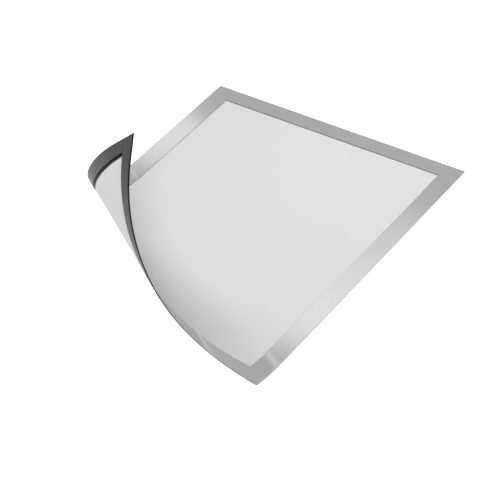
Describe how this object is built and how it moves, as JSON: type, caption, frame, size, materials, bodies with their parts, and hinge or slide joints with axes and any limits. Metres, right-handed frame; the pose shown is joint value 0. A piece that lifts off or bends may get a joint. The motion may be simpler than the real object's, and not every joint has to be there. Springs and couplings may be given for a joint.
{
  "type": "magnetic display frame",
  "caption": "Thin flexible magnetic display frame: silver border, clear window, dark magnetic strips behind, one corner peeled back and movable from flat.",
  "frame": {"origin": "centre of the flat sheet's outline, on the plane of the magnets' backs", "axes": "+X along the short sides, +Y along the long sides, +Z out of the front; the peeled corner is at -X -Y"},
  "size_m": [0.2363, 0.3227, 0.1126],
  "materials": {
    "border_silver": "satin metallic silver film",
    "clear_window": "clear anti-glare film, faintly frosted",
    "magnetic_rubber": "matt dark grey magnetic rubber"
  },
  "bodies": {
    "flat_sheet": {"border_skin": "border_silver", "window_sheet": "clear_window", "top_magnet": "magnetic_rubber", "right_magnet": "magnetic_rubber", "left_magnet": "magnetic_rubber"},
    "bend_1": {"border_skin_bend_1": "border_silver", "window_sheet_bend_1": "clear_window", "left_magnet_bend_1": "magnetic_rubber", "bottom_magnet_bend_1": "magnetic_rubber", "right_magnet_bend_1": "magnetic_rubber"},
    "bend_2": {"border_skin_bend_2": "border_silver", "window_sheet_bend_2": "clear_window", "left_magnet_bend_2": "magnetic_rubber", "bottom_magnet_bend_2": "magnetic_rubber"},
    "bend_3": {"border_skin_bend_3": "border_silver", "window_sheet_bend_3": "clear_window", "left_magnet_bend_3": "magnetic_rubber", "bottom_magnet_bend_3": "magnetic_rubber"},
    "bend_4": {"border_skin_bend_4": "border_silver", "window_sheet_bend_4": "clear_window", "left_magnet_bend_4": "magnetic_rubber", "bottom_magnet_bend_4": "magnetic_rubber"},
    "bend_5": {"border_skin_bend_5": "border_silver", "window_sheet_bend_5": "clear_window", "left_magnet_bend_5": "magnetic_rubber", "bottom_magnet_bend_5": "magnetic_rubber"},
    "bend_6": {"border_skin_bend_6": "border_silver", "window_sheet_bend_6": "clear_window", "left_magnet_bend_6": "magnetic_rubber", "bottom_magnet_bend_6": "magnetic_rubber"},
    "bend_7": {"border_skin_bend_7": "border_silver", "window_sheet_bend_7": "clear_window", "left_magnet_bend_7": "magnetic_rubber", "bottom_magnet_bend_7": "magnetic_rubber"},
    "bend_8": {"border_skin_bend_8": "border_silver", "window_sheet_bend_8": "clear_window", "left_magnet_bend_8": "magnetic_rubber", "bottom_magnet_bend_8": "magnetic_rubber"},
    "bend_9": {"border_skin_bend_9": "border_silver", "window_sheet_bend_9": "clear_window", "left_magnet_bend_9": "magnetic_rubber", "bottom_magnet_bend_9": "magnetic_rubber"},
    "bend_10": {"border_skin_bend_10": "border_silver", "window_sheet_bend_10": "clear_window", "left_magnet_bend_10": "magnetic_rubber", "bottom_magnet_bend_10": "magnetic_rubber"}
  },
  "joints": [
    {"name": "peel_fold_1", "type": "hinge", "parent": "flat_sheet", "child": "bend_1", "pos_m": [-0.03092, -0.04231, 0.00085], "axis": [-0.8352, 0.55, 0], "range_deg": [-12.4, 2.5]},
    {"name": "peel_fold_2", "type": "hinge", "parent": "bend_1", "child": "bend_2", "pos_m": [-0.0405, -0.05539, 0.00441], "axis": [-0.8212, 0.5706, -0.0055], "range_deg": [-12.4, 2.5]},
    {"name": "peel_fold_3", "type": "hinge", "parent": "bend_2", "child": "bend_3", "pos_m": [-0.04804, -0.06563, 0.01028], "axis": [-0.8099, 0.5864, -0.0145], "range_deg": [-12.4, 2.5]},
    {"name": "peel_fold_4", "type": "hinge", "parent": "bend_3", "child": "bend_4", "pos_m": [-0.05375, -0.0733, 0.01753], "axis": [-0.801, 0.5981, -0.0256], "range_deg": [-12.4, 2.5]},
    {"name": "peel_fold_5", "type": "hinge", "parent": "bend_4", "child": "bend_5", "pos_m": [-0.05804, -0.07899, 0.02591], "axis": [-0.7941, 0.6066, -0.0384], "range_deg": [-12.4, 2.5]},
    {"name": "peel_fold_6", "type": "hinge", "parent": "bend_5", "child": "bend_6", "pos_m": [-0.06113, -0.08303, 0.03544], "axis": [-0.7888, 0.6123, -0.053], "range_deg": [-12.4, 2.5]},
    {"name": "peel_fold_7", "type": "hinge", "parent": "bend_6", "child": "bend_7", "pos_m": [-0.06306, -0.08549, 0.04661], "axis": [-0.785, 0.6155, -0.0701], "range_deg": [-12.4, 2.5]},
    {"name": "peel_fold_8", "type": "hinge", "parent": "bend_7", "child": "bend_8", "pos_m": [-0.06354, -0.08607, 0.05979], "axis": [-0.7831, 0.6154, -0.0901], "range_deg": [-12.4, 2.5]},
    {"name": "peel_fold_9", "type": "hinge", "parent": "bend_8", "child": "bend_9", "pos_m": [-0.06208, -0.08417, 0.0748], "axis": [-0.7835, 0.6111, -0.1128], "range_deg": [-12.4, 2.5]},
    {"name": "peel_fold_10", "type": "hinge", "parent": "bend_9", "child": "bend_10", "pos_m": [-0.05832, -0.07952, 0.09007], "axis": [-0.7868, 0.6021, -0.1356], "range_deg": [-12.4, 2.5]}
  ],
  "couplings": [
    {"joint": "peel_fold_2", "follows": "peel_fold_1", "ratio": 1},
    {"joint": "peel_fold_3", "follows": "peel_fold_1", "ratio": 1},
    {"joint": "peel_fold_4", "follows": "peel_fold_1", "ratio": 1},
    {"joint": "peel_fold_5", "follows": "peel_fold_1", "ratio": 1},
    {"joint": "peel_fold_6", "follows": "peel_fold_1", "ratio": 1},
    {"joint": "peel_fold_7", "follows": "peel_fold_1", "ratio": 1},
    {"joint": "peel_fold_8", "follows": "peel_fold_1", "ratio": 1},
    {"joint": "peel_fold_9", "follows": "peel_fold_1", "ratio": 1},
    {"joint": "peel_fold_10", "follows": "peel_fold_1", "ratio": 1}
  ]
}
